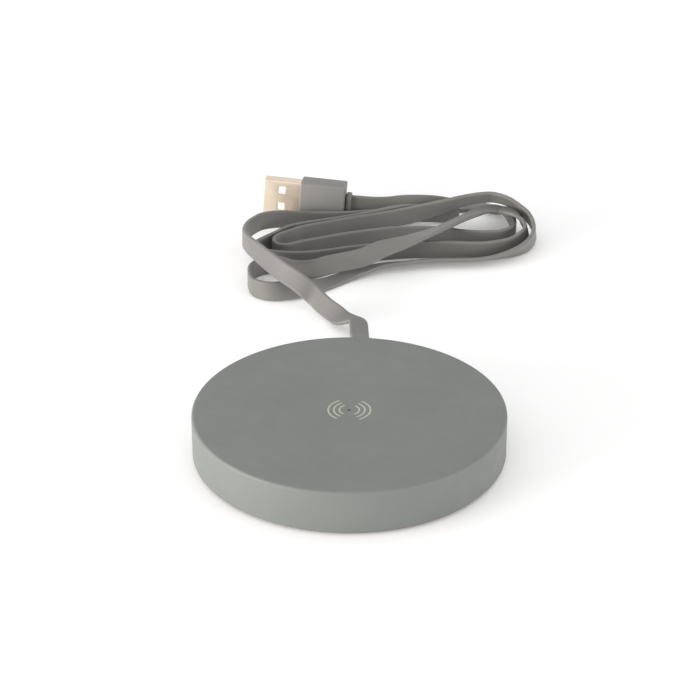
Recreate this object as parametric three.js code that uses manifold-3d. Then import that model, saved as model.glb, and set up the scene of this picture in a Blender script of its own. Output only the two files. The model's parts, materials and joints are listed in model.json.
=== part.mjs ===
// Round wireless charging pad with its flat USB lead, as separate parts.
// Millimetres, +Z up. The origin is the centre of the pad's underside, where it meets the table,
// and the lead leaves the pad along +Y.
import * as THREE from 'three';
import { mergeVertices } from 'three/addons/utils/BufferGeometryUtils.js';
import Module from 'manifold-3d';

const wasm = await Module();
wasm.setup();

// ---------------------------------------------------------------- driving dimensions

const padRadius = 42.5;
const padHeight = 13;
const wall = 1.8;                 // side wall of the top shell
const topThickness = 1.6;
const topEdgeRadius = 0.8;
const roundSteps = 64;            // facets round the large circular parts
const fit = 0.3;                  // clearance where one piece sits in another
const stack = 0.1;                // clearance between flat pieces that lie on each other

const footHeight = 0.55;          // anti-slip ring, partly sunk into the base
const footInner = 28.5;
const footOuter = 38.5;
const baseBottom = 0.4;
const baseThickness = 2.4;
const baseRadius = 41.8;
const shellBottom = 1.1;          // lower rim of the top shell, above the base's visible edge
const rimStep = 0.4;              // step inside the top shell that the base plate's rim comes up against

const screwCircle = 33;           // radius of the three screw positions
const screwAngles = [30, 150, 270];
const screwHeadRadius = 2;
const screwHeadHeight = 0.9;
const screwShankRadius = 0.9;
const bossRadius = 2.7;

const boardRadius = 38;
const boardThickness = 1.2;
const boardBottom = 3.9;

const coilInner = 10.25;          // standard ten-turn transmitter coil
const coilTurns = 10;
const coilPitch = 1.12;
const coilWire = 0.9;
const ferriteRadius = 24;
const ferriteThickness = 1.8;
const pipeRadius = 0.4;           // indicator light pipe in the middle of the top

const markRadii = [2.7, 4.2, 5.7];
const markHalfAngle = 58;
const markWidth = 0.45;
const markDepth = 0.3;

const glandHeight = 5.5;          // height of the lead's axis where it leaves the pad
const cordWidth = 6;
const cordThickness = 1.3;
const neckWidth = cordWidth + 1.4; // the gland's neck, where it passes through the side wall
const neckHeight = 3.2;

// ---------------------------------------------------------------- derived heights

const baseTop = baseBottom + baseThickness;
const footRecess = footHeight + stack;
const boardTop = boardBottom + boardThickness;
const ceiling = padHeight - topThickness;
const coilTop = ceiling - stack;
const coilBottom = coilTop - coilWire;
const adhesiveThickness = 0.2;
const ferriteTop = coilBottom - adhesiveThickness - 2 * stack;
const ferriteBottom = ferriteTop - ferriteThickness;
const carrierTop = ferriteBottom - stack;
const carrierThickness = 0.8;
const innerRadius = padRadius - wall;

// ---------------------------------------------------------------- helpers

const radians = THREE.MathUtils.degToRad;

/** A closed solid from any three.js geometry, turned so that its faces point out. */
function solid(geometry) {
  const bare = new THREE.BufferGeometry();
  bare.setAttribute('position', geometry.getAttribute('position').clone());
  if (geometry.index) bare.setIndex(geometry.index.clone());
  const merged = mergeVertices(bare, 1e-4);
  const build = (triangles) => new wasm.Manifold(new wasm.Mesh({
    numProp: 3,
    vertProperties: new Float32Array(merged.attributes.position.array),
    triVerts: new Uint32Array(triangles),
  }));
  const index = Array.from(merged.index.array);
  const body = build(index);
  return body.volume() > 0 ? body : build(index.reverse());
}

/** The three.js geometry of a solid. */
function geometryOf(body) {
  const mesh = body.getMesh();
  const geometry = new THREE.BufferGeometry();
  geometry.setAttribute('position', new THREE.BufferAttribute(new Float32Array(mesh.vertProperties), 3));
  geometry.setIndex(new THREE.BufferAttribute(new Uint32Array(mesh.triVerts), 1));
  const flat = geometry.toNonIndexed();
  flat.computeVertexNormals();
  return flat;
}

/** A solid of revolution about Z from an [r, z] profile that closes on itself or on the axis. */
function turned(profile, segments = roundSteps) {
  const points = profile.map(([r, z]) => new THREE.Vector2(r, z));
  if (profile[0][0] > 0) points.push(points[0].clone());
  return solid(new THREE.LatheGeometry(points, segments).rotateX(Math.PI / 2));
}

/** A plain round bar, standing on bottom at x, y. */
function post(radius, bottom, top, x = 0, y = 0, segments = 24) {
  const bar = new THREE.CylinderGeometry(radius, radius, top - bottom, segments).rotateX(Math.PI / 2);
  return solid(bar.translate(x, y, (bottom + top) / 2));
}

/** A block from its centre and its full size. */
function block([x, y, z], [width, depth, height]) {
  return solid(new THREE.BoxGeometry(width, depth, height).translate(x, y, z));
}

/** A washer with square edges. */
function washer(inner, outer, bottom, top, segments = roundSteps) {
  return turned([[inner, bottom], [outer, bottom], [outer, top], [inner, top]], segments);
}

/** Points round a quarter of a circle, from one angle to another. */
function quarter(centreR, centreZ, radius, from, to, steps = 4) {
  return Array.from({ length: steps + 1 }, (_, i) => {
    const angle = radians(from + (to - from) * i / steps);
    return [centreR + radius * Math.cos(angle), centreZ + radius * Math.sin(angle)];
  });
}

/** A rectangle with rounded corners, centred on the origin. */
function roundedRectangle(width, height, radius, steps = 3) {
  const [x, y] = [width / 2 - radius, height / 2 - radius];
  const corners = [[x, y, 0], [-x, y, 90], [-x, -y, 180], [x, -y, 270]];
  const points = corners.flatMap(([cx, cy, start]) => (
    quarter(cx, cy, radius, start, start + 90, steps).map(([px, py]) => new THREE.Vector2(px, py))));
  return new THREE.Shape(points);
}

/** A bar whose rounded section changes size along Z; stations are [z, width, height]. */
function lofted(stations, roundness) {
  const section = roundedRectangle(1, 1, roundness);
  const geometry = new THREE.ExtrudeGeometry(section, {
    depth: stations.length - 1, steps: stations.length - 1, bevelEnabled: false,
  });
  const place = geometry.getAttribute('position');
  for (let i = 0; i < place.count; i += 1) {
    const [z, width, height] = stations[Math.round(place.getZ(i))];
    place.setXYZ(i, place.getX(i) * width, place.getY(i) * height, z);
  }
  return geometry;
}

/** The point at an angle on a circle about the pad's axis. */
function onCircle(radius, degrees) {
  return [radius * Math.cos(radians(degrees)), radius * Math.sin(radians(degrees))];
}

const pad = new THREE.Group();

/** Adds one named piece to a group, with a material of its own. */
function piece(name, body, colour, roughness, metalness = 0, group = pad) {
  const material = new THREE.MeshStandardMaterial({ color: colour, roughness, metalness });
  const mesh = new THREE.Mesh(geometryOf(body), material);
  mesh.name = name;
  group.add(mesh);
}

// ---------------------------------------------------------------- colours

const warmGrey = 0x868a86;
const cordGrey = 0x8c8a86;
const markGrey = 0xa6a99b;
const rubberGrey = 0x76706c;
const steel = 0xb9b9b6;
const copper = 0xb87333;
const ferriteBlack = 0x2c2b2b;
const boardGreen = 0x1f5a3a;
const chipBlack = 0x1b1b1c;
const capacitorTan = 0xa98a62;
const white = 0xe9e6df;

// ---------------------------------------------------------------- top shell

function markArc(radius, side, bottom, top) {
  const middle = side > 0 ? 0 : Math.PI;
  const half = radians(markHalfAngle);
  const shape = new THREE.Shape();
  shape.absarc(0, 0, radius + markWidth / 2, middle - half, middle + half, false);
  shape.absarc(0, 0, radius - markWidth / 2, middle + half, middle - half, true);
  const options = { depth: top - bottom, bevelEnabled: false, curveSegments: 10 };
  return solid(new THREE.ExtrudeGeometry(shape, options).translate(0, 0, bottom));
}

function markArcs(bottom, top) {
  const sides = { right: 1, left: -1 };
  const rings = ['inner', 'middle', 'outer'];
  return Object.entries(sides).flatMap(([word, side]) => rings.map((ring, i) => ({
    name: `mark_arc_${word}_${ring}`,
    body: markArc(markRadii[i], side, bottom, top),
  })));
}

function topShell() {
  const edge = quarter(padRadius - topEdgeRadius, padHeight - topEdgeRadius, topEdgeRadius, 0, 90);
  let body = turned([
    [innerRadius, baseTop + rimStep], [innerRadius + rimStep, baseTop + rimStep],
    [innerRadius + rimStep, shellBottom + 1],
    [padRadius - 0.35, shellBottom], [padRadius, shellBottom + 0.35],
    ...edge, [pipeRadius + fit, padHeight], [pipeRadius + fit, ceiling], [innerRadius, ceiling],
  ].filter(([r]) => r > 0));
  for (const angle of screwAngles) {
    const [x, y] = onCircle(screwCircle, angle);
    body = body.add(post(bossRadius, baseTop + stack, ceiling + 0.2, x, y));
    body = body.subtract(post(screwShankRadius + fit, baseTop - 1, baseTop + 5.5, x, y, 16));
  }
  const slot = [neckWidth + 2 * fit, 6, neckHeight + 2 * fit];
  body = body.subtract(block([0, innerRadius + 1, glandHeight], slot));
  for (const arc of markArcs(padHeight - markDepth - 0.05, padHeight + 1)) {
    body = body.subtract(arc.body);
  }
  return body;
}

piece('top_shell', topShell(), warmGrey, 0.62);
for (const arc of markArcs(padHeight - markDepth, padHeight)) {
  piece(arc.name, arc.body, markGrey, 0.5);
}
piece('light_pipe', post(pipeRadius, boardTop + 1, padHeight - 0.15, 0, 0, 16), 0x3a3c3a, 0.2);

// ---------------------------------------------------------------- base and screws

function basePlate() {
  const rim = innerRadius + rimStep - fit;
  let body = turned([
    [0, baseBottom], [footInner - fit, baseBottom], [footInner - fit, footRecess],
    [footOuter + fit, footRecess], [footOuter + fit, baseBottom], [baseRadius - 0.3, baseBottom],
    [baseRadius, baseBottom + 0.2], [baseRadius, shellBottom - 0.15], [rim, shellBottom + 0.4],
    [rim, baseTop], [0, baseTop],
  ]);
  for (const angle of screwAngles) {
    const [x, y] = onCircle(screwCircle, angle);
    body = body.subtract(post(screwHeadRadius + fit, 0, footRecess + 0.1 + screwHeadHeight + fit, x, y));
    body = body.subtract(post(screwShankRadius + fit, 0, baseTop + 1, x, y, 16));
    const [ribX, ribY] = onCircle(screwCircle, angle + 60);
    body = body.add(post(2, baseTop - 0.2, boardBottom - stack, ribX, ribY));
  }
  return body;
}

function screw(x, y) {
  const headBottom = footRecess + 0.2;
  const headTop = headBottom + screwHeadHeight;
  const head = post(screwHeadRadius, headBottom, headTop, x, y);
  const shank = post(screwShankRadius, headTop - 0.2, headTop + 6, x, y, 16);
  const cross = [[1.8, 0.45, 1], [0.45, 1.8, 1]];
  return cross.reduce((body, size) => body.subtract(block([x, y, headBottom], size)), head.add(shank));
}

piece('base_plate', basePlate(), warmGrey, 0.7);
piece('foot_ring', washer(footInner, footOuter, 0, footHeight), rubberGrey, 0.9);
screwAngles.forEach((angle, i) => {
  piece(`case_screw_${i + 1}`, screw(...onCircle(screwCircle, angle)), steel, 0.35, 1);
});

// ---------------------------------------------------------------- coil, ferrite and carrier

/** One layer of wire wound outwards from the inner radius. */
function chargingCoil() {
  class Spiral extends THREE.Curve {
    getPoint(t, target = new THREE.Vector3()) {
      const radius = coilInner + coilWire / 2 + coilPitch * coilTurns * t;
      const angle = 2 * Math.PI * coilTurns * t;
      return target.set(radius * Math.cos(angle), radius * Math.sin(angle), (coilTop + coilBottom) / 2);
    }

    computeFrenetFrames(segments) {
      const steps = Array.from({ length: segments + 1 }, (_, i) => i / segments);
      const up = new THREE.Vector3(0, 0, 1);
      const tangents = steps.map((u) => this.getTangentAt(u));
      const binormals = steps.map(() => up.clone());
      const normals = tangents.map((tangent) => up.clone().cross(tangent).normalize());
      return { tangents, normals, binormals };
    }
  }
  const half = coilWire / 2;
  const corners = [[half, half], [-half, half], [-half, -half], [half, -half]];
  const section = new THREE.Shape(corners.map(([x, y]) => new THREE.Vector2(x, y)));
  const options = { extrudePath: new Spiral(), steps: coilTurns * 16, bevelEnabled: false };
  return solid(new THREE.ExtrudeGeometry(section, options));
}

function coilCarrier() {
  const carrierBottom = carrierTop - carrierThickness;
  const outer = ferriteRadius + 3;
  const lipTop = ferriteBottom + 1;
  return turned([
    [3, carrierBottom], [outer - 1, carrierBottom], [outer - 1, boardTop + stack],
    [outer, boardTop + stack], [outer, lipTop], [outer - 1, lipTop], [outer - 1, carrierTop],
    [3, carrierTop],
  ], 40);
}

piece('charging_coil', chargingCoil(), copper, 0.4, 0.8);
const adhesiveBottom = ferriteTop + stack;
piece('coil_adhesive', washer(3, 23, adhesiveBottom, adhesiveBottom + adhesiveThickness, 36), white, 0.8);
piece('ferrite_sheet', washer(2.5, ferriteRadius, ferriteBottom, ferriteTop, 40), ferriteBlack, 0.6);
piece('coil_carrier', coilCarrier(), 0x4a4b4c, 0.6);

// ---------------------------------------------------------------- circuit board and its parts

function circuitBoard() {
  let body = washer(1, boardRadius, boardBottom, boardTop, 48);
  for (const angle of screwAngles) {
    const [x, y] = onCircle(screwCircle, angle);
    body = body.subtract(post(bossRadius + fit, 0, padHeight, x, y));
  }
  const glandNotch = [14, 9, 4];
  return body.subtract(block([0, boardRadius, boardBottom], glandNotch));
}

/** A component standing on the board, from its plan place and its size. */
function onBoard(x, y, [width, depth, height]) {
  return block([x, y, boardTop + stack + height / 2], [width, depth, height]);
}

piece('circuit_board', circuitBoard(), boardGreen, 0.5);
piece('status_led', onBoard(0, 0, [1.6, 1.2, 0.7]), white, 0.3);
piece('controller_chip', onBoard(-12, 4, [5, 5, 0.9]), chipBlack, 0.5);
piece('power_driver_chip', onBoard(-12, -6, [4, 4, 0.9]), chipBlack, 0.5);
piece('voltage_regulator', onBoard(10, 12, [3, 3, 1]), chipBlack, 0.5);
piece('input_inductor', onBoard(9, -9, [4.8, 4.8, 1.1]), 0x56554f, 0.7);
[-4.5, -1.5, 1.5, 4.5].forEach((y, i) => {
  piece(`resonant_capacitor_${i + 1}`, onBoard(-31, y, [3.2, 2.4, 1.8]), capacitorTan, 0.5);
});

// ---------------------------------------------------------------- lead: gland and inner wires

// Distance from the side wall, width and height: flange, neck, then the tapered boot.
const glandStations = [
  [-3.6, cordWidth + 4, 5.4], [-2.3, cordWidth + 4, 5.4],
  [-2.25, neckWidth, neckHeight], [0.35, neckWidth, neckHeight],
  [0.4, cordWidth + 3, 4.8], [1.4, cordWidth + 2.8, 4.6], [8, cordWidth + 0.9, 2.4],
];
const glandEnd = padRadius + glandStations.at(-1)[0];

const gland = lofted(glandStations, 0.3).rotateX(-Math.PI / 2).translate(0, padRadius, glandHeight);
piece('cord_gland', solid(gland), cordGrey, 0.7);

/** A thin round wire through a few points. */
function wire(points, radius = 0.55) {
  const path = new THREE.CatmullRomCurve3(points.map((point) => new THREE.Vector3(...point)));
  const section = new THREE.Shape().absarc(0, 0, radius, 0, 2 * Math.PI);
  return solid(new THREE.ExtrudeGeometry(section, {
    extrudePath: path, steps: 10, curveSegments: 4, bevelEnabled: false,
  }));
}

const wireStart = padRadius + glandStations[0][0] - fit;
const wireLanding = boardTop + 0.9;
piece('supply_wire', wire([
  [1.6, wireStart, glandHeight], [1.8, 36.5, glandHeight + 0.4], [4, 33.4, 6.4], [7, 31.5, wireLanding],
]), 0xa5322b, 0.5);
piece('ground_wire', wire([
  [-1.6, wireStart, glandHeight], [-1.8, 36.5, glandHeight + 0.4], [-4, 33.4, 6.4], [-7, 31.5, wireLanding],
]), 0x202020, 0.5);

// ---------------------------------------------------------------- lead: flat cord

/** A path whose flat section is turned by a stated lean: 0 lies flat, 90 stands on edge. */
class RibbonPath extends THREE.CatmullRomCurve3 {
  constructor(route) {
    super(route.map(([x, y, z]) => new THREE.Vector3(x, y, z)));
    this.leans = route.map((point) => radians(point[3]));
  }

  leanAt(u) {
    const place = this.getUtoTmapping(u) * (this.leans.length - 1);
    const i = Math.min(Math.floor(place), this.leans.length - 2);
    return THREE.MathUtils.lerp(this.leans[i], this.leans[i + 1], place - i);
  }

  computeFrenetFrames(segments) {
    const frames = { tangents: [], normals: [], binormals: [] };
    const up = new THREE.Vector3(0, 0, 1);
    for (let i = 0; i <= segments; i += 1) {
      const tangent = this.getTangentAt(i / segments);
      const side = tangent.clone().cross(up).normalize();
      const width = side.applyAxisAngle(tangent, this.leanAt(i / segments));
      frames.tangents.push(tangent);
      frames.normals.push(width);
      frames.binormals.push(tangent.clone().cross(width));
    }
    return frames;
  }
}

function flatCord(route, steps) {
  const section = roundedRectangle(cordWidth, cordThickness, 0.5, 1);
  const options = { extrudePath: new RibbonPath(route), steps, bevelEnabled: false };
  return solid(new THREE.ExtrudeGeometry(section, options));
}

// Each point of a route is x, y, z and the lean of the section in degrees.
const leadRoute = [
  [0, glandEnd + fit, glandHeight, 0], [-0.3, 55.5, 4.4, -12], [-1.4, 61, 3.3, -20],
  [-1.9, 65.5, 3.6, -22], [-2.7, 69.3, 4.1, -15], [-4.8, 71, 3.6, -8], [-7.6, 72.8, 3.1, 20],
  [-10, 75.9, 3.1, 50], [-13.3, 79.4, 3.7, 57], [-17, 83.5, 5.1, 55], [-20, 85, 7.1, 55], [-22.5, 86.5, 8.3, 57],
];
const tailRoute = [
  [1.6, 150.2, 5.35, 90], [-2.5, 149.5, 5.6, 90], [-7, 149, 6.1, 90], [-9.7, 148.9, 6.35, 90],
];

/** The folded bundle as one block with round ends; the cord's own folds lie inside it. */
function bundle() {
  const outline = [
    [-41.5, 104], [-42.4, 119], [-38, 136.5], [-27, 143.4], [-17, 143.8], [-8, 144], [0.5, 147],
    [3.9, 152.5], [14, 157.6], [25, 161.8], [35, 161.4], [42.6, 152.6], [50.3, 142], [51.4, 133],
    [45, 121.5], [32, 117], [16, 114.6], [0, 106.5], [-12, 95.8], [-21, 89.4], [-31, 87.6], [-38.4, 92],
  ];
  const bundleHeight = 12.7;
  const edge = new THREE.CatmullRomCurve3(outline.map(([x, y]) => new THREE.Vector3(x, y, 0)), true);
  const points = edge.getPoints(outline.length * 2).slice(0, -1);
  const shape = new THREE.Shape(points.map(({ x, y }) => new THREE.Vector2(x, y)));
  return solid(new THREE.ExtrudeGeometry(shape, { depth: bundleHeight, bevelEnabled: false }));
}

piece('cord_lead', flatCord(leadRoute, 26), cordGrey, 0.75);
piece('cord_bundle', bundle(), cordGrey, 0.75);
piece('cord_tail', flatCord(tailRoute, 6), cordGrey, 0.75);

// ---------------------------------------------------------------- lead: plug

// The plug stands on its narrow edge and points back along -X. In its own frame the metal end
// points along +X, the two broad faces look along Y and the origin is the middle of the grip's rear.
const plugPlace = { x: -12.1, y: 148.8, z: 6.62, heading: 177.6, rise: 3.8, leanBack: 5 };
const gripLength = 14.8;
const gripThickness = 7.6;
const gripWidth = 13;
const reliefThickness = 4.4;
const reliefWidth = 7.4;
const shellWidth = 12;            // standard A plug
const shellThickness = 4.5;
const shellExposed = 12;
const shellSunk = 4.6;
const shellWall = 0.3;
const windowSize = 2.5;
const windowFromTip = 5.7;
const windowPitch = 5.7;

const plug = new THREE.Group();
plug.position.set(plugPlace.x, plugPlace.y, plugPlace.z);
plug.rotation.set(
  radians(plugPlace.leanBack), -radians(plugPlace.rise), radians(plugPlace.heading), 'ZYX',
);
pad.add(plug);

const tip = gripLength + shellExposed;
const shellRear = gripLength - shellSunk;

/** A bar along the plug's X with rounded long edges. */
function plugBar(from, to, thickness, width, radius) {
  const section = roundedRectangle(width, thickness, radius);
  const bar = new THREE.ExtrudeGeometry(section, { depth: to - from, bevelEnabled: false });
  return solid(bar.rotateY(Math.PI / 2).translate(from, 0, 0));
}

function plugGrip() {
  const mouth = [shellThickness + 2 * fit, shellWidth + 2 * fit];
  const pocket = plugBar(shellRear - fit, gripLength + 1, ...mouth, 0.5);
  const body = plugBar(0, gripLength, gripThickness, gripWidth, 0.7);
  return body.subtract(pocket);
}

function plugShell() {
  let body = plugBar(shellRear, tip, shellThickness, shellWidth, 0.6);
  const inside = [shellThickness - 2 * shellWall, shellWidth - 2 * shellWall];
  body = body.subtract(plugBar(shellRear - 1, tip + 1, ...inside, 0.3));
  for (const side of [-0.5, 0.5]) {
    const centre = [tip - windowFromTip, 0, side * windowPitch];
    body = body.subtract(block(centre, [windowSize, shellThickness + 2, windowSize]));
  }
  return body;
}

/** The short round-edged collar behind the grip. */
function plugStrainRelief() {
  const length = 1.7;
  return plugBar(-fit - length, -fit, reliefThickness, reliefWidth, 2.1);
}

const tongueThickness = 1.65;
const tongue = block(
  [(shellRear + tip) / 2 - 0.4, tongueThickness / 2, 0],
  [tip - shellRear - 1.2, tongueThickness - 0.1, 10.9],
);
piece('plug_grip', plugGrip(), cordGrey, 0.6, 0, plug);
piece('plug_strain_relief', plugStrainRelief(), cordGrey, 0.6, 0, plug);
piece('plug_shell', plugShell(), 0xd7cbbc, 0.35, 1, plug);
piece('plug_tongue', tongue, white, 0.5, 0, plug);
[-3.5, -1, 1, 3.5].forEach((z, i) => {
  const contact = block([tip - 5.2, -0.25, z], [7.4, 0.2, 1]);
  piece(`plug_contact_${i + 1}`, contact, 0xc9a24a, 0.3, 1, plug);
});

export default pad;
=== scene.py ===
"""The looks of a round wireless charging pad and its flat USB cable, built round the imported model."""
import json
import math

import bmesh
import bpy
import numpy as np
from mathutils import Euler, Matrix, Vector


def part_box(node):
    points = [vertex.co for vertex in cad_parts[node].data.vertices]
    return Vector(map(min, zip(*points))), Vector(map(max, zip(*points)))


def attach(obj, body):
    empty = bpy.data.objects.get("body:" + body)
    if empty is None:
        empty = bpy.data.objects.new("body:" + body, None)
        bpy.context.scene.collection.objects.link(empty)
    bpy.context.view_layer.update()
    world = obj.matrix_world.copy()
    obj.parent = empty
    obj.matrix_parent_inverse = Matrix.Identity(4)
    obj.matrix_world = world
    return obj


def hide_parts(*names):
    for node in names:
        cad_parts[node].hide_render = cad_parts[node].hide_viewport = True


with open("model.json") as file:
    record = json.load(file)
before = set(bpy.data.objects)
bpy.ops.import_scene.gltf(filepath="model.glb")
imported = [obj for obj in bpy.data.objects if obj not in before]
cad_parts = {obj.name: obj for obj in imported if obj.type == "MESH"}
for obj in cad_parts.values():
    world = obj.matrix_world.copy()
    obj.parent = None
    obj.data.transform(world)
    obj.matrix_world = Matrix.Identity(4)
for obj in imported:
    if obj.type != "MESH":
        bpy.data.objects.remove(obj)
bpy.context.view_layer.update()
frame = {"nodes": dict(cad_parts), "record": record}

MM = 0.001

# ------------------------------------------------------------------ driving sizes, in metres

PAD_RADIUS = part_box("top_shell")[1][0]
PAD_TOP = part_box("top_shell")[1][2]
SHELL_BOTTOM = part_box("top_shell")[0][2]
BASE_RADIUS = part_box("base_plate")[1][0]
BASE_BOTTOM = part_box("base_plate")[0][2]
FOOT_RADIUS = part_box("foot_ring")[1][0]
FOOT_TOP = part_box("foot_ring")[1][2]
FOOT_INNER = 28.5 * MM
WALL = 1.8 * MM
TOP_EDGE_RADIUS = 0.8 * MM
ROUND_STEPS = 256
SHARP_ANGLE = 38                  # an edge over this angle is shaded sharp

MARK_RADII = {"inner": 2.7 * MM, "middle": 4.2 * MM, "outer": 5.7 * MM}
MARK_HALF_ANGLE = 58
MARK_WIDTH = 0.46 * MM
PIPE_RADIUS = 0.4 * MM

CORD_WIDTH = 6.0 * MM
CORD_THICKNESS = 1.3 * MM
CORD_SPACING = 0.8 * MM           # between two rings of the cord's skin

# ------------------------------------------------------------------ camera

CAMERA_PLACE = Vector((37.7, -521.6, 310.0)) * MM
CAMERA_PITCH = 28.06              # degrees below the horizon
CAMERA_YAW = 4.115                # degrees to the left
CAMERA_LENS = 114.9


def add_camera():
    data = bpy.data.cameras.new("camera")
    data.lens = CAMERA_LENS
    data.sensor_width = 36
    data.clip_start = 0.01
    camera = bpy.data.objects.new("camera", data)
    camera.location = CAMERA_PLACE
    camera.rotation_euler = (math.radians(90 - CAMERA_PITCH), 0, math.radians(CAMERA_YAW))
    bpy.context.collection.objects.link(camera)
    bpy.context.scene.camera = camera


add_camera()

# ------------------------------------------------------------------ materials


class Material:
    """A Principled material, with short calls for the nodes that feed it."""

    def __init__(self, name, colour, roughness, metallic=0.0):
        self.name = name
        self.material = bpy.data.materials.new(name)
        self.material.use_nodes = True
        self.tree = self.material.node_tree
        self.shader = self.tree.nodes["Principled BSDF"]
        self.colour = colour
        self.set("Base Color", (*colour, 1))
        self.set("Roughness", roughness)
        self.set("Metallic", metallic)
        self.place = self.node("TexCoord").outputs["Object"]
        self.normal = None

    def set(self, socket, value):
        self.shader.inputs[socket].default_value = value

    def node(self, kind, **values):
        made = self.tree.nodes.new("ShaderNode" + kind)
        for word, value in values.items():
            setattr(made, word, value)
        return made

    def link(self, output, target):
        self.tree.links.new(output, target)

    def noise(self, scale, detail=3.0, roughness=0.5, stretch=(1, 1, 1)):
        """A noise of about scale features per metre."""
        mapping = self.node("Mapping")
        mapping.inputs["Scale"].default_value = stretch
        made = self.node("TexNoise")
        made.inputs["Scale"].default_value = scale
        made.inputs["Detail"].default_value = detail
        made.inputs["Roughness"].default_value = roughness
        self.link(self.place, mapping.inputs["Vector"])
        self.link(mapping.outputs["Vector"], made.inputs["Vector"])
        return made.outputs["Fac"]

    def vary_roughness(self, value, low, high):
        spread = self.node("MapRange")
        for socket, number in (("From Min", 0.3), ("From Max", 0.7), ("To Min", low), ("To Max", high)):
            spread.inputs[socket].default_value = number
        self.link(value, spread.inputs["Value"])
        self.link(spread.outputs["Result"], self.shader.inputs["Roughness"])

    def vary_colour(self, value, amount):
        """Lightens and darkens the base colour by a fraction."""
        ramp = self.node("ValToRGB").color_ramp
        ramp.elements[0].position = 0.3
        ramp.elements[1].position = 0.7
        for element, factor in zip(ramp.elements, (1 - amount, 1 + amount)):
            element.color = (*(min(1.0, channel * factor) for channel in self.colour), 1)
        made = self.tree.nodes[-1]
        self.link(value, made.inputs["Fac"])
        self.link(made.outputs["Color"], self.shader.inputs["Base Color"])

    def bump(self, value, depth, strength=1.0):
        """Adds a bump of that depth in metres to the ones before it."""
        made = self.node("Bump")
        made.inputs["Distance"].default_value = depth
        made.inputs["Strength"].default_value = strength
        self.link(value, made.inputs["Height"])
        if self.normal:
            self.link(self.normal, made.inputs["Normal"])
        self.normal = made.outputs["Normal"]
        self.link(self.normal, self.shader.inputs["Normal"])


def moulded(name, colour, roughness=0.55, grain=2600, depth=0.02 * MM, patch=0.03):
    """Matte moulded plastic: a fine spark-eroded grain, and slow changes of tone and gloss."""
    made = Material(name, colour, roughness)
    made.vary_colour(made.noise(60, 2), patch)
    made.vary_roughness(made.noise(220, 4), roughness - 0.05, roughness + 0.07)
    made.bump(made.noise(grain, 2, 0.6), depth, 0.5)
    made.bump(made.noise(grain / 6, 2), depth * 1.5, 0.25)
    return made


def plated(name, colour, roughness=0.3, stretch=(1, 1, 1), depth=0.004 * MM):
    """Plated sheet metal, with faint drawing lines along one way."""
    made = Material(name, colour, roughness, metallic=1.0)
    lines = made.noise(900, 4, 0.6, stretch)
    made.vary_colour(made.noise(250, 3), 0.04)
    made.vary_roughness(lines, roughness - 0.06, roughness + 0.1)
    made.bump(lines, depth, 0.4)
    return made


def soft_jacket(name, colour):
    """The soft skin of the flat cord, a little uneven and with a faint sheen."""
    made = moulded(name, colour, 0.5, grain=3000, depth=0.012 * MM, patch=0.05)
    made.set("Sheen Weight", 0.06)
    made.set("Sheen Roughness", 0.5)
    return made


def rubber(name, colour):
    made = moulded(name, colour, 0.75, grain=1800, depth=0.03 * MM, patch=0.06)
    made.set("Specular IOR Level", 0.35)
    return made


def glossy(name, colour, roughness=0.2):
    made = moulded(name, colour, roughness, grain=900, depth=0.004 * MM, patch=0.02)
    made.set("Coat Weight", 0.3)
    return made


MATERIALS = {made.name: made.material for made in (
    moulded("pad_plastic", (0.161, 0.171, 0.163), 0.56),
    moulded("base_plastic", (0.2, 0.185, 0.175), 0.6),
    rubber("foot_rubber", (0.14, 0.125, 0.115)),
    moulded("mark_ink", (0.38, 0.4, 0.33), 0.45, grain=3500, depth=0.008 * MM, patch=0.02),
    glossy("smoked_lens", (0.03, 0.03, 0.03), 0.15),
    glossy("led_body", (0.8, 0.78, 0.7)),
    plated("copper_wire", (0.72, 0.38, 0.2), 0.35),
    moulded("adhesive_film", (0.8, 0.78, 0.72), 0.7, patch=0.02),
    moulded("ferrite", (0.03, 0.03, 0.032), 0.6, grain=1500, patch=0.15),
    moulded("carrier_plastic", (0.07, 0.07, 0.075), 0.6),
    glossy("board_laminate", (0.02, 0.11, 0.05), 0.3),
    moulded("chip_resin", (0.015, 0.015, 0.016), 0.5, grain=4000),
    moulded("inductor_ferrite", (0.09, 0.09, 0.085), 0.7, grain=4000),
    glossy("capacitor_ceramic", (0.4, 0.26, 0.14), 0.35),
    plated("screw_steel", (0.5, 0.5, 0.49), 0.35),
    soft_jacket("gland_plastic", (0.17, 0.167, 0.16)),
    soft_jacket("cord_jacket", (0.158, 0.154, 0.147)),
    glossy("red_insulation", (0.45, 0.03, 0.02), 0.4),
    glossy("black_insulation", (0.02, 0.02, 0.02), 0.4),
    moulded("plug_plastic", (0.195, 0.192, 0.185), 0.5, grain=2400),
    moulded("relief_plastic", (0.17, 0.168, 0.162), 0.55, grain=2400),
    plated("plug_steel", (0.8, 0.69, 0.56), 0.42, (1, 12, 12)),
    moulded("tongue_plastic", (0.8, 0.79, 0.78), 0.4, depth=0.005 * MM, patch=0.01),
    plated("contact_gold", (0.83, 0.6, 0.26), 0.25),
)}

# ------------------------------------------------------------------ mesh helpers


def solid(name, vertices, faces):
    """A closed mesh whose faces all look outwards, as an object in the scene."""
    mesh = bpy.data.meshes.new(name)
    mesh.from_pydata([tuple(vertex) for vertex in vertices], [], faces)
    build = bmesh.new()
    build.from_mesh(mesh)
    bmesh.ops.recalc_face_normals(build, faces=build.faces)
    build.to_mesh(mesh)
    build.free()
    made = bpy.data.objects.new(name, mesh)
    bpy.context.collection.objects.link(made)
    return made


def add_mesh(name, vertices, faces, slot, replaced=()):
    """A smooth piece on the pad's one body, in the place of the CAD nodes named."""
    made = solid(name, vertices, faces)
    made.data.shade_smooth()
    made.data.set_sharp_from_angle(angle=math.radians(SHARP_ANGLE))
    made.data.materials.append(MATERIALS[slot])
    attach(made, "root")
    if replaced:
        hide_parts(*replaced)
    return made


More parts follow.
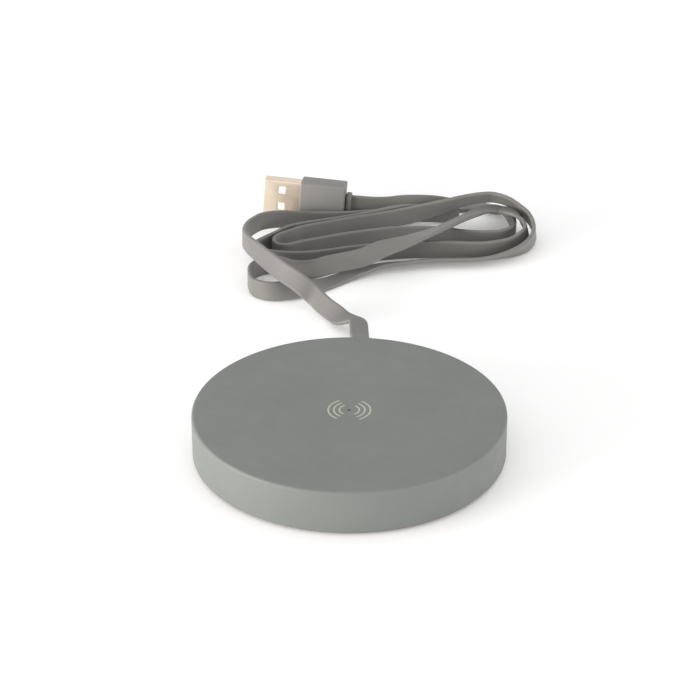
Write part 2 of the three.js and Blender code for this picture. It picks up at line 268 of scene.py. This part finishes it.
def skin(rings, closed=False):
    """Vertices and faces of a skin over rings of points, capped at its ends unless they join up."""
    count = len(rings[0])
    vertices = [point for ring in rings for point in ring]
    faces = []
    for i in range(len(rings) if closed else len(rings) - 1):
        here = i * count
        there = (i + 1) % len(rings) * count
        for j in range(count):
            k = (j + 1) % count
            faces.append((here + j, here + k, there + k, there + j))
    if not closed:
        faces.append(tuple(reversed(range(count))))
        faces.append(tuple(range(len(vertices) - count, len(vertices))))
    return vertices, faces


def arc(centre, radius, start, end, steps=6):
    """Points on an arc in the plane, in degrees."""
    angles = [math.radians(start + (end - start) * i / steps) for i in range(steps + 1)]
    return [(centre[0] + radius * math.cos(a), centre[1] + radius * math.sin(a)) for a in angles]


def turned(name, profile, slot, replaced=(), steps=ROUND_STEPS):
    """A solid of revolution from a closed profile of (r, z), clockwise seen with r to the right."""
    rings = []
    for i in range(steps):
        angle = 2 * math.pi * i / steps
        rings.append([(r * math.cos(angle), r * math.sin(angle), z) for r, z in profile])
    vertices, faces = skin(rings, closed=True)
    return add_mesh(name, vertices, faces, slot, replaced)


def rounded_section(width, height, radius, steps=5):
    """The outline of a rectangle with round corners, anticlockwise round the origin."""
    x, y = width / 2 - radius, height / 2 - radius
    corners = ((x, y, 0), (-x, y, 90), (-x, -y, 180), (x, -y, 270))
    return [point for cx, cy, a in corners for point in arc((cx, cy), radius, a, a + 90, steps)]


def cut(made, *cutters):
    """Cuts the cutters' volumes out of a piece and removes them."""
    for cutter in cutters:
        modifier = made.modifiers.new("cut", "BOOLEAN")
        modifier.operation = "DIFFERENCE"
        modifier.object = cutter
        modifier.solver = "EXACT"
    bpy.context.view_layer.update()
    shaped = bpy.data.meshes.new_from_object(made.evaluated_get(bpy.context.evaluated_depsgraph_get()))
    made.modifiers.clear()
    made.data = shaped
    shaped.set_sharp_from_angle(angle=math.radians(SHARP_ANGLE))
    for cutter in cutters:
        bpy.data.objects.remove(cutter)


# ------------------------------------------------------------------ flat cord

# x, y, z in millimetres and the lean of the section in degrees: 0 lies flat, 90 stands on edge.
ROUTE = (
    (0, 50.8, 5.5, 0), (-0.3, 55.5, 4.4, -12), (-1.4, 61, 3.3, -20), (-1.9, 65.5, 3.6, -22),
    (-2.7, 69.3, 4.1, -15), (-4.8, 71, 3.6, -8), (-7.6, 72.8, 3.1, 20), (-10, 75.9, 3.1, 50),
    (-13.3, 79.4, 3.7, 57), (-17, 83.5, 5.1, 55), (-20, 85, 7.1, 55), (-22.5, 86.5, 8.3, 57),
    (-27, 90, 9.5, 60), (-32, 96.5, 9.8, 66), (-36, 102.5, 9.9, 74), (-39.5, 108.5, 9.6, 84),
    (-41.5, 114, 9.2, 88), (-41.5, 121, 8.4, 90), (-40, 128, 7.2, 90), (-37.5, 135, 5.6, 90),
    (-32.5, 140.5, 3.9, 90), (-26, 142.5, 3.1, 90), (-18, 143, 3.1, 90), (-10, 143.5, 3.1, 90),
    (-2.5, 145.5, 3.1, 90), (2, 147.5, 3, 66), (5.5, 149, 2, 24), (9, 151.5, 1.1, 6),
    (13.5, 155, 0.8, 0), (20, 159, 0.8, 0), (27.5, 161, 0.8, 0), (32.5, 161.5, 0.9, 3),
    (36.5, 159, 1.8, 22), (40, 153, 2.9, 58), (42.3, 148, 3.1, 82), (43.5, 142.3, 3.1, 90),
    (43.1, 136.5, 3.1, 90), (39.5, 132.8, 3.1, 90), (33, 131.5, 3.1, 90), (26.5, 132, 3.1, 90),
    (20, 133.5, 3.1, 90), (5.5, 132.5, 3.1, 90), (-2.5, 130, 3.1, 90), (-10, 127, 3.1, 90),
    (-18, 123, 3.1, 90), (-24, 120, 3.1, 90), (-28.5, 117.3, 3.1, 90), (-31, 117.6, 3.1, 90),
    (-32.6, 119.6, 3.1, 90), (-32.9, 122.2, 3.1, 90), (-31.6, 125, 3.1, 90), (-28.8, 127.6, 3.1, 90),
    (-25, 131, 3.1, 92), (-17.5, 135, 3.1, 92), (-9.5, 139, 3.1, 92), (-1.5, 142, 3.4, 90),
    (6, 143.5, 4.4, 88), (13, 144.5, 5.9, 84), (19.5, 146, 7.4, 70), (26, 148.5, 8.5, 60),
    (32, 150, 9.3, 54), (36.5, 150.5, 9.4, 52), (41.5, 148, 9.1, 55), (45.3, 145.3, 7.6, 64),
    (48.6, 141, 6.2, 74), (50, 135.5, 4.6, 84), (48.8, 129.5, 3.45, 100), (44.5, 123.8, 2.95, 126),
    (39, 121, 2.3, 146), (32.5, 118.7, 1.95, 154), (25.5, 117.9, 1.9, 156), (17.5, 116.8, 1.95, 155),
    (8.7, 114.2, 2, 155), (1.6, 112.1, 1.75, 160), (-4, 108.8, 1.3, 168), (-9.1, 105.2, 0.85, 178),
    (-13.5, 100.8, 0.9, 184), (-18, 96.3, 1.7, 200), (-24.5, 91, 2.85, 232), (-31, 89.2, 3.1, 258),
    (-36, 91.5, 3.1, 270), (-38, 97, 3.1, 270), (-38, 102.5, 3.1, 270), (-35, 106.5, 3.1, 270),
    (-30.5, 108, 3.1, 270), (-24.5, 104.8, 3.15, 275), (-19, 103.6, 4, 286), (-14, 105, 5, 298),
    (-9, 106.7, 5.5, 304), (-3.5, 108.5, 6.3, 312), (2, 112, 7.6, 326), (8, 115.5, 8.3, 350),
    (14, 121, 8.4, 368), (20, 127.3, 8.3, 379), (25, 133.6, 8.2, 381), (29.5, 139, 8, 377),
    (34, 144.3, 7.7, 367), (38.6, 145.2, 7.2, 362), (42, 142.9, 7.8, 370), (44.6, 140.7, 7.3, 387),
    (46.7, 138.9, 5.3, 426), (47.5, 135.5, 3.8, 442), (45.3, 130.4, 3.3, 446), (42, 126.8, 3.1, 450),
    (38, 124.7, 3.1, 454), (34.5, 123.5, 3.1, 456), (30, 123, 3.1, 456), (23, 123, 3.1, 454),
    (15.5, 122.5, 3.1, 452), (7.5, 121.5, 3.1, 450), (0, 119.5, 3.1, 450), (-8, 117, 3.1, 450),
    (-15.5, 114, 3.1, 450), (-22.5, 112, 3.1, 450), (-28, 111.8, 3.1, 450), (-33.5, 112.6, 3.1, 450),
    (-37.2, 115, 3.1, 450), (-38.3, 118.6, 3.1, 450), (-36.3, 122, 3.1, 450), (-33.2, 126, 3.1, 450),
    (-29.4, 131, 3.1, 450), (-25, 133.8, 3.1, 450), (-17.5, 137.3, 3.1, 450), (-9.5, 141, 3.1, 450),
    (-2.5, 143.5, 3.6, 450), (3.5, 144.8, 4.7, 450), (8.5, 145.8, 5.1, 450), (14.5, 148, 4, 450),
    (20, 149.8, 3.2, 450), (23.4, 150.7, 3.1, 450), (24.8, 152, 3.3, 450), (23.6, 153.1, 3.9, 452),
    (19, 152.4, 5.2, 442), (13, 151.6, 5.8, 430), (7, 151, 5.8, 428), (2, 150.3, 5.4, 434),
    (-2.5, 149.5, 5.6, 444), (-7, 149, 6.1, 450), (-10.9, 148.9, 6.4, 450),
)
# The section's own sizes are in millimetres.
JACKET_GROOVES = (-1.5, 0, 1.5)   # fine lengthwise grooves, measured from the cord's middle
GROOVE_DEPTH = 0.012
GROOVE_WIDTH = 0.22
JACKET_EDGE = 0.5                 # radius of the four rounded edges
LEAN_SMOOTHING = 3                # rings either side over which the cord's twist is evened out


def between(a, b, start, end, t):
    return ((end - t) * a + (t - start) * b) / (end - start)


def span_point(p, knots, t):
    """A point of a Catmull-Rom span, by its pyramid of straight steps."""
    a = [between(p[i], p[i + 1], knots[i], knots[i + 1], t) for i in range(3)]
    b = [between(a[i], a[i + 1], knots[i], knots[i + 2], t) for i in range(2)]
    return between(b[0], b[1], knots[1], knots[2], t)


def smooth_route():
    """The route as evenly spaced rows of x, y, z in metres and lean in degrees."""
    rows = np.array(ROUTE, dtype=float)
    rows = np.vstack([2 * rows[0] - rows[1], rows, 2 * rows[-1] - rows[-2]])
    curve = []
    for first in range(len(rows) - 3):
        p = rows[first:first + 4]
        knots = np.concatenate([[0], np.cumsum(np.linalg.norm(np.diff(p[:, :3], axis=0), axis=1) ** 0.5)])
        curve += [span_point(p, knots, t) for t in np.linspace(knots[1], knots[2], 12, endpoint=False)]
    curve = np.array(curve + [rows[-2]])
    curve[:, :3] *= MM
    run = np.concatenate([[0], np.cumsum(np.linalg.norm(np.diff(curve[:, :3], axis=0), axis=1))])
    places = np.linspace(0, run[-1], round(run[-1] / CORD_SPACING) + 1)
    even = np.stack([np.interp(places, run, curve[:, k]) for k in range(4)], axis=1)
    window = np.ones(2 * LEAN_SMOOTHING + 1) / (2 * LEAN_SMOOTHING + 1)
    padded = np.pad(even[:, 3], LEAN_SMOOTHING, mode="edge")
    even[:, 3] = np.convolve(padded, window, mode="valid")
    return even


def jacket_section():
    """The cord's section as rows of width and thickness, with fine grooves in both broad sides."""
    x = CORD_WIDTH / MM / 2 - JACKET_EDGE
    y = CORD_THICKNESS / MM / 2 - JACKET_EDGE
    across = np.linspace(x, -x, 33)[1:-1]
    dip = sum(GROOVE_DEPTH * np.exp(-((across - groove) / GROOVE_WIDTH) ** 2) for groove in JACKET_GROOVES)
    upper = [(w, y + JACKET_EDGE - d) for w, d in zip(across, dip)]
    lower = [(-w, -h) for w, h in upper]
    right = arc((x, -y), JACKET_EDGE, -90, 0, 4) + arc((x, y), JACKET_EDGE, 0, 90, 4)
    left = arc((-x, y), JACKET_EDGE, 90, 180, 4) + arc((-x, -y), JACKET_EDGE, 180, 270, 4)
    return np.array(right + upper + left + lower) * MM


def cord_rings(rows, section):
    """One ring of the section at each row, turned by the row's lean."""
    centres = rows[:, :3]
    tangents = np.gradient(centres, axis=0)
    tangents /= np.linalg.norm(tangents, axis=1)[:, None]
    sides = np.cross(tangents, (0, 0, 1))
    sides /= np.linalg.norm(sides, axis=1)[:, None]
    ups = np.cross(sides, tangents)
    lean = np.radians(rows[:, 3])[:, None]
    widths = np.cos(lean) * sides + np.sin(lean) * ups
    normals = np.cross(widths, tangents)
    return [c + section[:, :1] * w + section[:, 1:] * n for c, w, n in zip(centres, widths, normals)]


def make_cord():
    rows = smooth_route()
    made = add_mesh("flat_cord", *skin(cord_rings(rows, jacket_section())), "cord_jacket",
                    ("cord_lead", "cord_bundle", "cord_tail"))
    length = float(np.linalg.norm(np.diff(rows[:, :3], axis=0), axis=1).sum())
    return made, rows, length


# ------------------------------------------------------------------ plug

# The plug's own frame: the metal end points along +X, the broad faces look along Y, and the
# origin is the middle of the grip's rear.
PLUG_PLACE = Vector((-12.1, 148.8, 6.62)) * MM
PLUG_TURN = Euler([math.radians(angle) for angle in (5, -3.8, 177.6)], "XYZ")
PLUG_FRAME = Matrix.Translation(PLUG_PLACE) @ PLUG_TURN.to_matrix().to_4x4()
GRIP_LENGTH = 14.8 * MM
GRIP_WIDTH = 13.0 * MM
GRIP_THICKNESS = 7.6 * MM
SHELL_WIDTH = 12.0 * MM
SHELL_THICKNESS = 4.5 * MM
SHELL_EXPOSED = 12.0 * MM
SHELL_SUNK = 4.6 * MM
SHEET = 0.3 * MM
TIP = GRIP_LENGTH + SHELL_EXPOSED
WINDOW_SIZE = 2.6 * MM
WINDOW_FROM_TIP = 5.7 * MM
WINDOW_PITCH = 5.7 * MM


def plug_ring(x, width, thickness, radius, steps=5):
    """One ring round the plug's X axis; width runs along its Z and thickness along its Y."""
    return [PLUG_FRAME @ Vector((x, y, z)) for z, y in rounded_section(width, thickness, radius, steps)]


def end_round(x, inward, width, thickness, radius, edge, steps=4):
    """Rings that round off an end at x; inward is +1 or -1, the way into the solid."""
    rings = []
    for i in range(steps + 1):
        angle = math.radians(90 * i / steps)
        inset = edge * (1 - math.sin(angle))
        depth = edge * (1 - math.cos(angle))
        size = (width - 2 * inset, thickness - 2 * inset, radius - 0.8 * inset)
        rings.append(plug_ring(x + inward * depth, *size))
    return rings


def make_grip():
    edge = 0.45 * MM
    size = (GRIP_WIDTH, GRIP_THICKNESS, 0.75 * MM)
    mouth = (SHELL_WIDTH + 0.16 * MM, SHELL_THICKNESS + 0.16 * MM, 0.65 * MM)
    rings = end_round(0, 1, *size, edge)
    rings += reversed(end_round(GRIP_LENGTH, -1, *size, edge))
    rings.append(plug_ring(GRIP_LENGTH, *mouth))
    rings.append(plug_ring(GRIP_LENGTH - SHELL_SUNK, *mouth))
    return add_mesh("usb_grip", *skin(rings), "plug_plastic", ("plug_grip",))


def make_relief():
    """The short collar between the grip and the cord, standing clear of both by a thin neck."""
    neck = (6.5 * MM, 1.9 * MM, 0.9 * MM)
    collar = (7.4 * MM, 4.4 * MM, 2.0 * MM)
    front, back = -0.42 * MM, -2.0 * MM
    rings = [plug_ring(0.2 * MM, *neck), plug_ring(front, *neck)]
    rings += end_round(front, -1, *collar, 0.25 * MM)
    rings += reversed(end_round(back, 1, *collar, 0.25 * MM))
    rings += [plug_ring(back, *neck), plug_ring(back - 0.1 * MM, *neck)]
    return add_mesh("usb_strain_relief", *skin(rings), "relief_plastic", ("plug_strain_relief",))


def make_shell():
    """The metal end: a folded sheet with a seam behind and two windows in each broad side."""
    outer = (SHELL_WIDTH, SHELL_THICKNESS, 0.62 * MM)
    inner = (SHELL_WIDTH - 2 * SHEET, SHELL_THICKNESS - 2 * SHEET, 0.34 * MM)
    lip = 0.12 * MM
    eased = (SHELL_WIDTH - 2 * lip, SHELL_THICKNESS - 2 * lip, 0.54 * MM)
    rear = GRIP_LENGTH - SHELL_SUNK + 0.1 * MM
    rings = [plug_ring(rear, *outer), plug_ring(TIP - lip, *outer), plug_ring(TIP, *eased),
             plug_ring(TIP, *inner), plug_ring(rear, *inner)]
    made = add_mesh("usb_shell", *skin(rings, closed=True), "plug_steel", ("plug_shell",))
    cutters = []
    for side in (-0.5, 0.5):
        outline = rounded_section(WINDOW_SIZE, WINDOW_SIZE, 0.35 * MM, 4)
        middle = Vector((TIP - WINDOW_FROM_TIP, 0, side * WINDOW_PITCH))
        reach = SHELL_THICKNESS
        cutters.append(solid("cutter", *skin([
            [PLUG_FRAME @ (middle + Vector((x, y, z))) for x, z in outline] for y in (-reach, reach)])))
    seam = [[PLUG_FRAME @ Vector((x, y, z)) for y, z in (
        (-2.3 * MM, -0.04 * MM), (-2.1 * MM, -0.04 * MM), (-2.1 * MM, 0.04 * MM), (-2.3 * MM, 0.04 * MM))]
        for x in (GRIP_LENGTH - MM, TIP + MM)]
    cut(made, *cutters, solid("cutter", *skin(seam)))
    return made


def make_tongue():
    """The pale insulator behind the near broad side; the contacts lie on its far face."""
    inside = SHELL_THICKNESS / 2 - SHEET
    thickness = 1.75 * MM
    size = (SHELL_WIDTH - 2 * SHEET - 0.3 * MM, thickness, 0.2 * MM)
    middle = Vector((0, inside - thickness / 2 - 0.03 * MM, 0))
    rings = []
    rear = GRIP_LENGTH - SHELL_SUNK + 0.3 * MM
    for x, inset in ((rear, 0), (TIP - 1.1 * MM, 0), (TIP - 0.8 * MM, 0.3 * MM)):
        outline = rounded_section(size[0] - 2 * inset, size[1] - 2 * inset, size[2], 2)
        rings.append([PLUG_FRAME @ (middle + Vector((x, y, z))) for z, y in outline])
    return add_mesh("usb_tongue", *skin(rings), "tongue_plastic", ("plug_tongue",))


def make_contacts():
    """Four gold strips that lie on the tongue, with their front ends bent in."""
    face = SHELL_THICKNESS / 2 - SHEET - 1.78 * MM
    made = []
    for i, z in enumerate((-3.5, -1, 1, 3.5)):
        profile = [(TIP - 9 * MM, 0), (TIP - 2.2 * MM, 0),
                   (TIP - 1.7 * MM, 0.12 * MM), (TIP - 1.4 * MM, 0.3 * MM)]
        rings = []
        for x, drop in profile:
            outline = rounded_section(1.0 * MM, 0.16 * MM, 0.05 * MM, 2)
            rings.append([
                PLUG_FRAME @ Vector((x, face - 0.06 * MM + drop + y, z * MM + w)) for w, y in outline])
        node = f"plug_contact_{i + 1}"
        made.append(add_mesh(f"usb_contact_{i + 1}", *skin(rings), "contact_gold", (node,)))
    return made


# ------------------------------------------------------------------ cable gland

GLAND_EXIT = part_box("cord_gland")[1][1]
GLAND_HEIGHT = 5.5 * MM


def gland_ring(y, width, height, radius):
    outline = rounded_section(width * MM, height * MM, radius * MM, 5)
    return [Vector((x, y, GLAND_HEIGHT + z)) for x, z in outline]


def make_gland():
    """A flat tapered boot with shallow flex ribs."""
    start = PAD_RADIUS - 3.4 * MM
    rings = [gland_ring(start, 10, 5.4, 0.6), gland_ring(start + 1.2 * MM, 10, 5.4, 0.6),
             gland_ring(start + 1.25 * MM, 7.4, 3.2, 0.6), gland_ring(PAD_RADIUS + 0.05 * MM, 7.4, 3.2, 0.6)]
    steps = 60
    boot = GLAND_EXIT - PAD_RADIUS - 0.1 * MM
    for i in range(steps + 1):
        t = i / steps
        ease = min(1.0, t / 0.06)
        tail = min(1.0, (1 - t) / 0.05)
        end = math.sqrt(max(0.0, 1 - (1 - tail) ** 2))
        ring_groove = 0.32 * (0.5 - 0.5 * math.cos(2 * math.pi * 5 * (t - 0.18))) if 0.18 < t < 0.98 else 0
        width = 8.9 - 2.0 * t - 0.5 * (1 - ease) - ring_groove - 0.4 * (1 - end)
        height = 4.7 - 2.3 * t ** 0.9 - 0.5 * (1 - ease) - ring_groove - 0.4 * (1 - end)
        rings.append(gland_ring(PAD_RADIUS + 0.1 * MM + boot * t, width, height, min(height / 2 - 0.05, 1.1)))
    return add_mesh("cable_gland", *skin(rings), "gland_plastic", ("cord_gland",))


# ------------------------------------------------------------------ pad


def make_shell_top():
    """The top shell: a shallow cup with an eased lower rim, a round top edge and a centre hole."""
    inner = PAD_RADIUS - WALL
    ceiling = PAD_TOP - 1.6 * MM
    hole = PIPE_RADIUS + 0.08 * MM
    profile = [(inner, ceiling), (inner, SHELL_BOTTOM + 0.3 * MM), (inner + 0.3 * MM, SHELL_BOTTOM)]
    profile += arc((PAD_RADIUS - 0.3 * MM, SHELL_BOTTOM + 0.3 * MM), 0.3 * MM, -90, 0, 4)
    profile += arc((PAD_RADIUS - TOP_EDGE_RADIUS, PAD_TOP - TOP_EDGE_RADIUS), TOP_EDGE_RADIUS, 0, 90, 10)
    profile += [(PAD_RADIUS * 0.6, PAD_TOP), (PAD_RADIUS * 0.2, PAD_TOP)]
    profile += arc((hole + 0.12 * MM, PAD_TOP - 0.12 * MM), 0.12 * MM, 90, 180, 4)
    profile += [(hole, ceiling)]
    made = turned("pad_shell", profile, "pad_plastic", ("top_shell",))
    outline = rounded_section(8.0 * MM, 3.8 * MM, 0.5 * MM, 3)
    slot = [[Vector((x, y, GLAND_HEIGHT + z)) for x, z in outline]
            for y in (PAD_RADIUS - 4 * MM, PAD_RADIUS + 2 * MM)]
    cut(made, solid("cutter", *skin(slot)))
    return made


def make_marks():
    """Two sets of three arcs, inlaid a hair proud of the top."""
    bottom = PAD_TOP - 0.25 * MM
    top = PAD_TOP + 0.02 * MM
    edge = 0.02 * MM
    half = MARK_WIDTH / 2
    section = [(-half, bottom), (half, bottom), (half, top - edge), (half - edge, top),
               (-half + edge, top), (-half, top - edge)]
    for side, middle in (("right", 0), ("left", 180)):
        for ring, radius in MARK_RADII.items():
            span = 2 * MARK_HALF_ANGLE
            steps = 40
            rings = []
            for i in range(steps + 1):
                angle = math.radians(middle - MARK_HALF_ANGLE + span * i / steps)
                rings.append([((radius + r) * math.cos(angle), (radius + r) * math.sin(angle), z)
                              for r, z in section])
            add_mesh(f"wave_{side}_{ring}", *skin(rings), "mark_ink", (f"mark_arc_{side}_{ring}",))


def make_pipe():
    """The light pipe's round top, a little below the top shell's face."""
    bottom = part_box("light_pipe")[0][2]
    top = PAD_TOP - 0.1 * MM
    dome = [(PIPE_RADIUS * math.cos(math.radians(a)), top - 0.12 * MM * (1 - math.sin(math.radians(a))))
            for a in range(0, 90, 15)]
    profile = [(0.02 * MM, bottom), (PIPE_RADIUS, bottom)] + dome + [(0.02 * MM, top)]
    return turned("indicator_lens", profile, "smoked_lens", ("light_pipe",), steps=32)


def make_base():
    """The base plate, with a moulded channel for the anti-slip ring."""
    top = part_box("base_plate")[1][2]
    floor = FOOT_TOP + 0.1 * MM
    gap = 0.25 * MM
    tiny = 0.05 * MM
    profile = [(tiny, floor + 1.2 * MM), (tiny, BASE_BOTTOM)]
    profile += arc((FOOT_INNER - gap - 0.15 * MM, BASE_BOTTOM + 0.15 * MM), 0.15 * MM, -90, 0, 3)
    profile += [(FOOT_INNER - gap, floor), (FOOT_RADIUS + gap, floor)]
    profile += arc((FOOT_RADIUS + gap + 0.15 * MM, BASE_BOTTOM + 0.15 * MM), 0.15 * MM, 180, 270, 3)
    profile += arc((BASE_RADIUS - 0.25 * MM, BASE_BOTTOM + 0.25 * MM), 0.25 * MM, -90, 0, 4)
    profile += [(BASE_RADIUS, SHELL_BOTTOM - 0.12 * MM), (BASE_RADIUS - 1.4 * MM, SHELL_BOTTOM + 0.4 * MM),
                (BASE_RADIUS - 1.4 * MM, top), (BASE_RADIUS - 4 * MM, top),
                (BASE_RADIUS - 4 * MM, floor + 1.2 * MM)]
    return turned("pad_base", profile, "base_plastic", ("base_plate",))


def make_foot():
    """The anti-slip ring, with fine round grips on its underside."""
    grips = 12
    profile = [(FOOT_INNER, FOOT_TOP)]
    pitch = (FOOT_RADIUS - FOOT_INNER) / grips
    for i in range(grips):
        start = FOOT_INNER + i * pitch
        profile += [(start, 0.12 * MM), (start + 0.2 * pitch, 0), (start + 0.8 * pitch, 0)]
    profile += [(FOOT_RADIUS, 0.12 * MM), (FOOT_RADIUS, FOOT_TOP)]
    return turned("anti_slip_ring", profile, "foot_rubber", ("foot_ring",))


def dress_nodes():
    """Gives the CAD nodes that stay in view, all inside the pad, their finishes."""
    slots = {row["node"]: row["material_slot"] for row in frame["record"]["subparts"]}
    for name, node in frame["nodes"].items():
        for place in node.material_slots:
            place.material = MATERIALS[slots[name]]


# ------------------------------------------------------------------ stage

FLOOR_SIZE = 6.0
FLOOR_COLOUR = (0.92, 0.92, 0.92)
FLOOR_GLOW = 0.1                  # keeps the sweep white where the soft shadows end
WORLD_STRENGTH = 0.92
LAMP_COLOUR = (1, 0.96, 0.92)
LAMP_SIZE = (0.7, 0.26)


def add_floor():
    half = FLOOR_SIZE / 2
    mesh = bpy.data.meshes.new("floor")
    corners = [(-half, -half, 0), (half, -half, 0), (half, half, 0), (-half, half, 0)]
    mesh.from_pydata(corners, [], [(0, 1, 2, 3)])
    floor = bpy.data.objects.new("floor", mesh)
    floor_material = Material("pale_floor", FLOOR_COLOUR, 0.75)
    floor_material.set("Emission Color", (1, 1, 1, 1))
    floor_material.set("Emission Strength", FLOOR_GLOW)
    floor_material.vary_colour(floor_material.noise(3, 2), 0.006)
    mesh.materials.append(floor_material.material)
    bpy.context.collection.objects.link(floor)


def add_light(name, place, watts):
    """A soft box that looks at the middle of the pad."""
    data = bpy.data.lights.new(name, "AREA")
    data.shape = "RECTANGLE"
    data.size, data.size_y = LAMP_SIZE
    data.energy = watts
    data.color = LAMP_COLOUR
    light = bpy.data.objects.new(name, data)
    light.location = place
    light.rotation_euler = (-Vector(place)).to_track_quat("-Z", "Y").to_euler()
    bpy.context.collection.objects.link(light)


def add_lights():
    world = bpy.data.worlds.new("studio")
    world.use_nodes = True
    world.node_tree.nodes["Background"].inputs["Color"].default_value = (1, 1, 1, 1)
    world.node_tree.nodes["Background"].inputs["Strength"].default_value = WORLD_STRENGTH
    bpy.context.scene.world = world
    bpy.context.scene.view_settings.view_transform = "Standard"
    add_light("key", (-0.9, -0.45, 0.16), 13)
    add_light("fill", (0.95, -0.35, 0.16), 4)


# ------------------------------------------------------------------ build

cord, cord_rows, cord_length = make_cord()
grip = make_grip()
relief = make_relief()
usb_shell = make_shell()
tongue = make_tongue()
contacts = make_contacts()
gland = make_gland()
make_shell_top()
make_marks()
make_pipe()
make_base()
make_foot()

dress_nodes()
add_floor()
add_lights()
